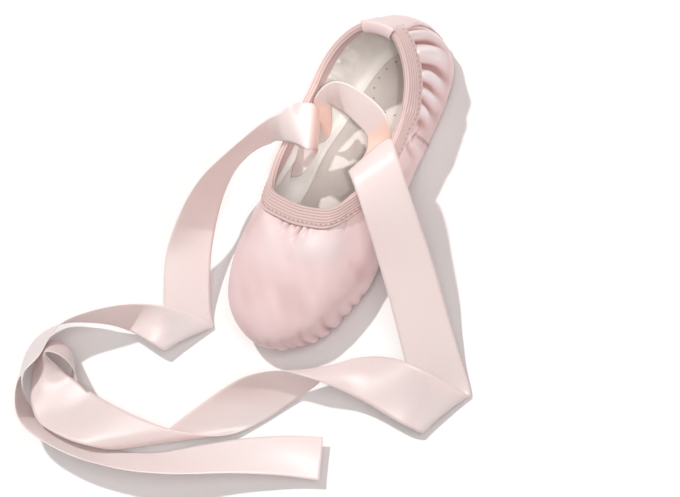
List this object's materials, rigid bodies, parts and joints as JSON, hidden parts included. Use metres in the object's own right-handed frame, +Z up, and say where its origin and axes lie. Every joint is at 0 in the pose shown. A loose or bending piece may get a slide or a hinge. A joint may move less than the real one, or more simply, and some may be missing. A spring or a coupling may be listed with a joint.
{
  "type": "ballet slipper",
  "caption": "Child's soft satin ballet slipper with split suede sole pads, ribbed elastic collar binding and loose satin ribbons, standing empty on its sole.",
  "frame": {"origin": "on the floor under the middle of the shoe's own box, without its ribbons", "axes": "+Z up from the sole, +Y from the toe to the heel, +X towards the wearer's left, which is the right side of the picture"},
  "size_m": [0.257, 0.2809, 0.0559],
  "materials": {
    "upper": "pale pink satin outside, cream cotton lining inside",
    "front_sole": "suede",
    "heel_sole": "suede",
    "insole": "plain canvas",
    "collar_binding": "ribbed elastic",
    "heel_tab": "satin",
    "ribbon_left": "double-faced satin",
    "ribbon_right": "double-faced satin"
  },
  "bodies": {
    "root": {"upper": "upper", "front_sole": "front_sole", "heel_sole": "heel_sole", "insole": "insole", "collar_binding": "collar_binding", "heel_tab": "heel_tab", "ribbon_left": "ribbon_left", "ribbon_right": "ribbon_right"}
  },
  "joints": []
}
